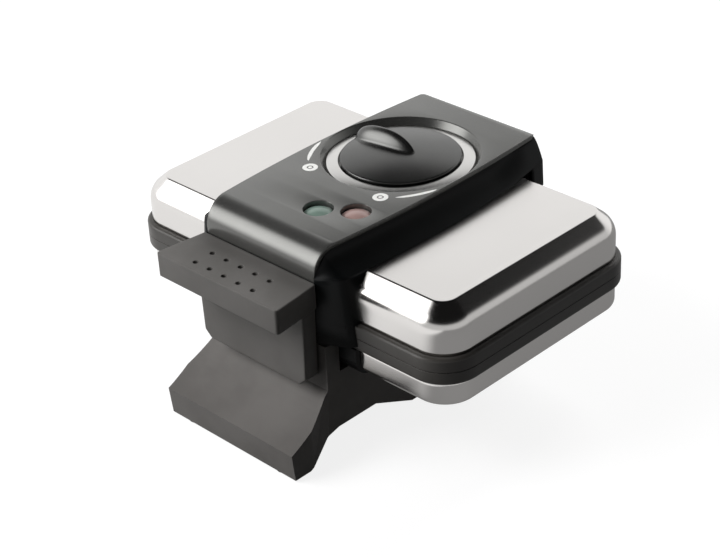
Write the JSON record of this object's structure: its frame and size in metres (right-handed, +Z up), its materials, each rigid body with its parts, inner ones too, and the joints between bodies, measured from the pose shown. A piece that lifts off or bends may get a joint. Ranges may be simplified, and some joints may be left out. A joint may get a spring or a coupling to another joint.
{
  "type": "double belgian waffle maker",
  "caption": "Countertop waffle maker with two side-by-side wells under one hinged lid, steel shells, dark bridge console with dial and lamps, lift handle and arched base.",
  "frame": {"origin": "on the surface that the rubber feet rest on, under the middle of the whole outline", "axes": "+Z up, the handle faces -Y, the two waffle wells lie along X, +X to the right seen from the handle"},
  "size_m": [0.312, 0.2658, 0.1705],
  "materials": {
    "steel": "satin pressed stainless steel",
    "console_plastic": "fine matt moulded plastic, dark grey",
    "skirt_plastic": "smooth near-black moulded plastic",
    "rim_plastic": "satin dark grey-brown moulded plastic",
    "handle_plastic": "fine textured dark grey plastic",
    "base_plastic": "fine textured dark grey plastic",
    "knob_plastic": "satin dark grey plastic",
    "dial_silver": "satin bright plated trim",
    "green_clear": "translucent green plastic",
    "red_clear": "translucent red plastic",
    "cast_plate": "cast aluminium with dark non-stick coat",
    "heater_sheath": "dull heat-tinted steel",
    "sheet_metal": "bright rolled sheet",
    "fastener": "zinc plated steel",
    "rubber": "soft black rubber",
    "terminal_white": "cream heat-resistant plastic",
    "lamp_glass": "small clear neon bulb"
  },
  "bodies": {
    "base": {"base_cover": "base_plastic", "base_cover_screws": "fastener", "base_hinge_bracket": "rim_plastic", "base_hinge_screws": "fastener", "base_pedestal": "base_plastic", "base_screws": "fastener", "cord_gland": "rubber", "hinge_pin": "fastener", "lower_heat_shield_left": "sheet_metal", "lower_heat_shield_right": "sheet_metal", "lower_heater_left": "heater_sheath", "lower_heater_right": "heater_sheath", "lower_housing": "skirt_plastic", "lower_plate_left": "cast_plate", "lower_plate_right": "cast_plate", "lower_rim": "rim_plastic", "lower_shell_left": "steel", "lower_shell_right": "steel", "lower_shield_screws_left": "fastener", "lower_shield_screws_right": "fastener", "pin_clips": "fastener", "rubber_feet": "rubber", "terminal_block": "terminal_white"},
    "lid": {"chassis_plate": "sheet_metal", "chassis_screws": "fastener", "console_cover": "console_plastic", "console_screws": "fastener", "console_skirt": "skirt_plastic", "dial_ring": "dial_silver", "green_lens": "green_clear", "handle_apron": "handle_plastic", "handle_ledge": "handle_plastic", "handle_screws": "fastener", "lamp_holders": "terminal_white", "lid_hinge_bracket": "rim_plastic", "lid_hinge_screws": "fastener", "neon_lamps": "lamp_glass", "red_lens": "red_clear", "thermostat": "terminal_white", "upper_heat_shield_left": "sheet_metal", "upper_heat_shield_right": "sheet_metal", "upper_heater_left": "heater_sheath", "upper_heater_right": "heater_sheath", "upper_plate_left": "cast_plate", "upper_plate_right": "cast_plate", "upper_rim": "rim_plastic", "upper_shell_left": "steel", "upper_shell_right": "steel", "upper_shield_screws_left": "fastener", "upper_shield_screws_right": "fastener"},
    "knob": {"knob": "knob_plastic", "thermostat_shaft": "fastener"}
  },
  "joints": [
    {"name": "lid_hinge", "type": "hinge", "parent": "base", "child": "lid", "pos_m": [0, 0.12545, 0.098], "axis": [-1, 0, 0], "range_deg": [0, 100]},
    {"name": "knob_turn", "type": "hinge", "parent": "lid", "child": "knob", "pos_m": [0, 0.04605, 0.155], "axis": [0, 0, 1], "range_deg": [0, 240]}
  ]
}
